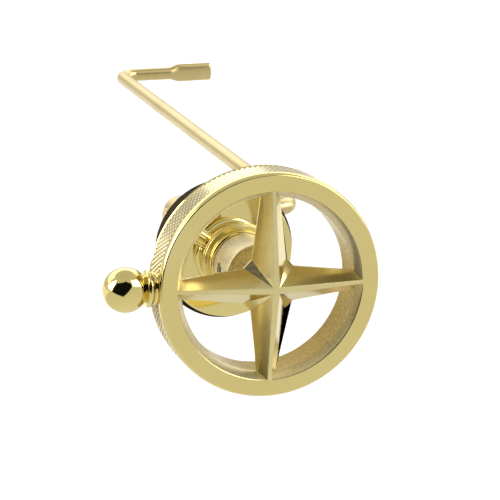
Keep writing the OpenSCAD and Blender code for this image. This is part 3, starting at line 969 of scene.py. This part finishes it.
studio = {
    "floorHeight": -0.32,
    "floorFront": 0.45,     # the floor's front edge; in front of it the backdrop's own tone takes over
    "floorBack": 7.0,
    "floorWide": 14.0,
    "floorTone": (0.95, 0.95, 0.94),
    "floorOtherTone": (0.92, 0.92, 0.91),
    "level": 0.75,          # backdrop's brightness at the horizon
    "levelFall": 0.0015,    # how much darker it gets with each degree upwards
    "cardTone": 0.008,
    "boxStrength": 3.6,
    "backStrength": 1.3,    # extra light from above and behind, which keeps the floor white
    "feather": 2.0,         # degrees over which a panel's edge fades
}
# Each panel is bounded by lines a * azimuth + b * elevation < limit, in degrees. Azimuth 0 is
# straight in front of the wheel and grows to the right.
darkCard = [(1, 0, 25), (-1, 0.29, 85.6), (-0.28, 1, 60.8), (0.37, 1, 54.3), (-0.29, -1, 26), (1, -1, -3)]
leftBox = [(1, -0.29, -84), (-0.23, -1, 19), (-1, 0, 115), (-1.27, 1, 164), (1.03, 1, -41)]
backBox = [(0, -1, -18), (0, 1, 48)]
behind = 118                # degrees either side of straight ahead at which the back light starts
rightBox = [(-1, 0.14, -27), (-0.33, -1, -38.5), (0.32, 1, 69.3), (1, 0, 100)]


def studioFloor():
    clearSelection()
    middle = (studio["floorFront"] + studio["floorBack"]) / 2
    bpy.ops.mesh.primitive_plane_add(size=1, location=(0, middle, studio["floorHeight"]))
    floor = newPiece("studioFloor")
    floor.scale = (studio["floorWide"], studio["floorBack"] - studio["floorFront"], 1)
    applyPlace(floor)
    finish, tree, shader = newFinish("paleFloor")
    grain = grainOn(tree, 3)
    tree.links.new(toneBetween(tree, grain, studio["floorTone"], studio["floorOtherTone"]),
                   shader.inputs["Base Color"])
    shader.inputs["Roughness"].default_value = 0.9
    floor.data.materials.append(finish)


studioFloor()


class StudioNodes:
    def __init__(self, tree):
        self.tree = tree

    def sum(self, kind, a, b=None):
        node = self.tree.nodes.new("ShaderNodeMath")
        node.operation = kind
        for socket, value in zip(node.inputs, (a, b)):
            if value is None:
                continue
            if isinstance(value, (int, float)):
                socket.default_value = value
            else:
                self.tree.links.new(value, socket)
        return node.outputs[0]

    def inside(self, azimuth, elevation, side):
        a, b, limit = side
        reach = self.sum("ADD", self.sum("MULTIPLY", azimuth, a), self.sum("MULTIPLY", elevation, b))
        fade = self.tree.nodes.new("ShaderNodeMapRange")
        fade.interpolation_type = "SMOOTHSTEP"
        fade.inputs["From Min"].default_value = limit + studio["feather"]
        fade.inputs["From Max"].default_value = limit - studio["feather"]
        self.tree.links.new(reach, fade.inputs["Value"])
        return fade.outputs[0]

    def panel(self, azimuth, elevation, sides):
        shape = 1
        for side in sides:
            shape = self.sum("MULTIPLY", shape, self.inside(azimuth, elevation, side))
        return shape


def studioWorld():
    world = bpy.data.worlds.new("studioWorld")
    bpy.context.scene.world = world
    world.use_nodes = True
    tree = world.node_tree
    background = tree.nodes["Background"]
    background.inputs["Color"].default_value = (1, 1, 1, 1)
    maths = StudioNodes(tree)
    where = tree.nodes.new("ShaderNodeTexCoord")
    split = tree.nodes.new("ShaderNodeSeparateXYZ")
    tree.links.new(where.outputs["Generated"], split.inputs[0])
    front = maths.sum("MULTIPLY", split.outputs["Y"], -1)
    azimuth = maths.sum("MULTIPLY", maths.sum("ARCTAN2", split.outputs["X"], front), 180 / math.pi)
    elevation = maths.sum("MULTIPLY", maths.sum("ARCSINE", split.outputs["Z"]), 180 / math.pi)

    card = maths.panel(azimuth, elevation, darkCard)
    left = maths.panel(azimuth, elevation, leftBox)
    right = maths.panel(azimuth, elevation, rightBox)
    turned = maths.sum("ABSOLUTE", azimuth)
    back = maths.panel(turned, elevation, backBox + [(-1, 0, -behind)])
    fall = maths.sum("MULTIPLY", elevation, -studio["levelFall"])
    light = maths.sum("MULTIPLY", maths.sum("ADD", fall, studio["level"]), maths.sum("SUBTRACT", 1, card))
    boxes = maths.sum("MULTIPLY", maths.sum("ADD", left, right), studio["boxStrength"])
    rear = maths.sum("MULTIPLY", back, studio["backStrength"])
    lamps = maths.sum("ADD", boxes, rear)
    total = maths.sum("ADD", maths.sum("ADD", light, lamps), studio["cardTone"])
    seen = tree.nodes.new("ShaderNodeLightPath")
    mix = maths.sum("MAXIMUM", total, seen.outputs["Is Camera Ray"])
    tree.links.new(mix, background.inputs["Strength"])


studioWorld()

camera = {
    "aim": (-5.06, -42.85, 9.66),   # mm
    "distance": 544.9,              # mm
    "azimuth": 17.89,               # degrees to the left of straight ahead
    "elevation": 13.96,
    "roll": 1.34,
    "lens": 144,
}


def studioCamera():
    eye = bpy.data.objects.new("studioCamera", bpy.data.cameras.new("studioCamera"))
    bpy.context.scene.collection.objects.link(eye)
    side, height = math.radians(camera["azimuth"]), math.radians(camera["elevation"])
    forward = Vector((math.sin(side) * math.cos(height), math.cos(side) * math.cos(height), -math.sin(height)))
    turn = forward.to_track_quat("-Z", "Y").to_matrix().to_4x4()
    roll = Matrix.Rotation(math.radians(camera["roll"]), 4, "Z")
    place = Vector(camera["aim"]) * mm - forward * camera["distance"] * mm
    eye.matrix_world = Matrix.Translation(place) @ turn @ roll
    eye.data.lens = camera["lens"]
    eye.data.sensor_width = 36
    eye.data.clip_start, eye.data.clip_end = 0.01, 50
    bpy.context.scene.camera = eye


studioCamera()
bpy.context.scene.view_settings.view_transform = "Standard"
print("studio ready")

clearSelection()
